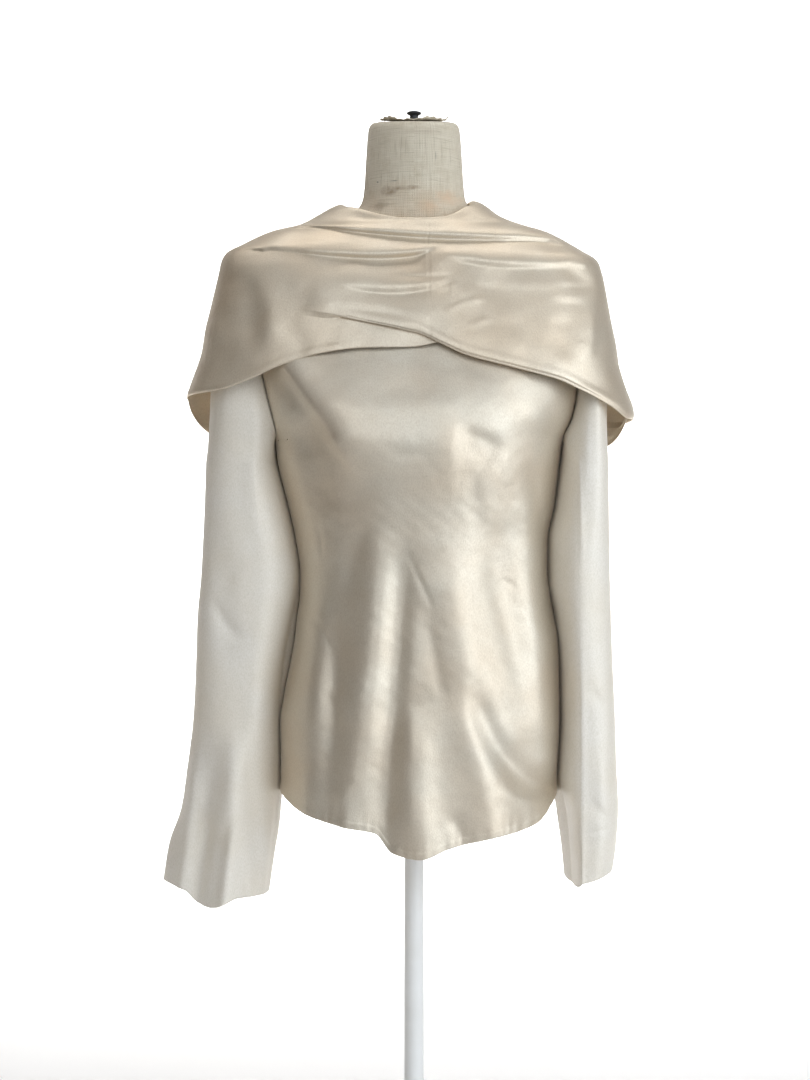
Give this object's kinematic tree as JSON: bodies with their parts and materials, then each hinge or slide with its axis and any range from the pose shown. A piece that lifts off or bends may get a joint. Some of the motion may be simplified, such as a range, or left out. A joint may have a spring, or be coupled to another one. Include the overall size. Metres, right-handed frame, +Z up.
{
  "type": "silk blouse on a limbless linen dress form",
  "caption": "Ivory silk satin blouse with a wide draped cowl collar and long sleeves, on a linen dress form with a steel stand.",
  "frame": {"origin": "centre of the stand's base plate, on its underside", "axes": "+Z up, -Y the front of the blouse, +X to the right as seen from the front"},
  "size_m": [0.4873, 0.28, 1.066],
  "materials": {
    "silk": "ivory silk satin with a soft sheen",
    "linen": "natural unbleached linen, matte and lightly stained",
    "knob_black": "black, satin",
    "stand_white": "white paint, satin"
  },
  "bodies": {
    "root": {"blouse_front": "silk", "blouse_back": "silk", "sleeve_left": "silk", "sleeve_right": "silk", "cowl_collar": "silk", "form_torso": "linen", "neck_gather": "linen", "neck_knob": "knob_black", "stand_socket": "stand_white", "stand_pole": "stand_white", "stand_base": "stand_white"}
  },
  "joints": []
}
